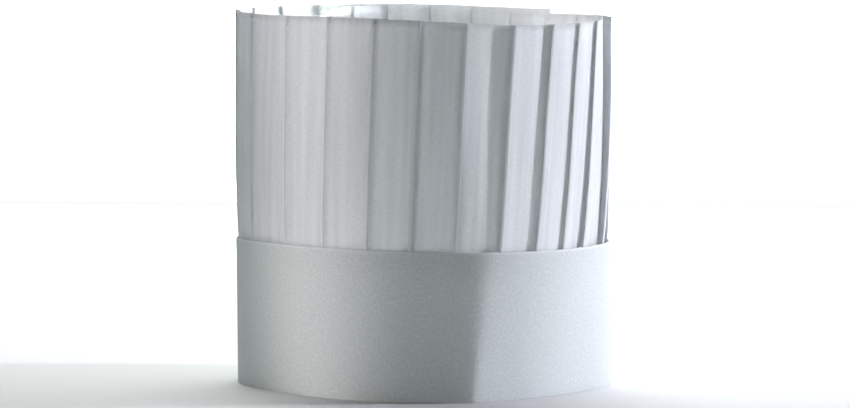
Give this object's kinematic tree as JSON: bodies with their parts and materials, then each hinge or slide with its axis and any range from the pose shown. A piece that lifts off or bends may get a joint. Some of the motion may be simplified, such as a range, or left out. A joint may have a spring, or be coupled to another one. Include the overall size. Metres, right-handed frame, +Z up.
{
  "type": "disposable pleated chef hat",
  "caption": "Tall round disposable chef hat: a pleated nonwoven crown, open at the top, tucked into a plain upright crepe band.",
  "frame": {"origin": "centre of the hat's extents at the lower edge of the band, on the surface that it stands on", "axes": "+Z up, the front seen in the picture faces -Y, +X is the right side as seen from the front"},
  "size_m": [0.2034, 0.2038, 0.201],
  "materials": {
    "crepe_band": "matt white crepe nonwoven, slightly pebbled",
    "pleated_nonwoven": "matt thin white nonwoven, slightly see-through, with fine streaks"
  },
  "bodies": {
    "root": {"headband": "crepe_band", "pleated_crown": "pleated_nonwoven"}
  },
  "joints": []
}
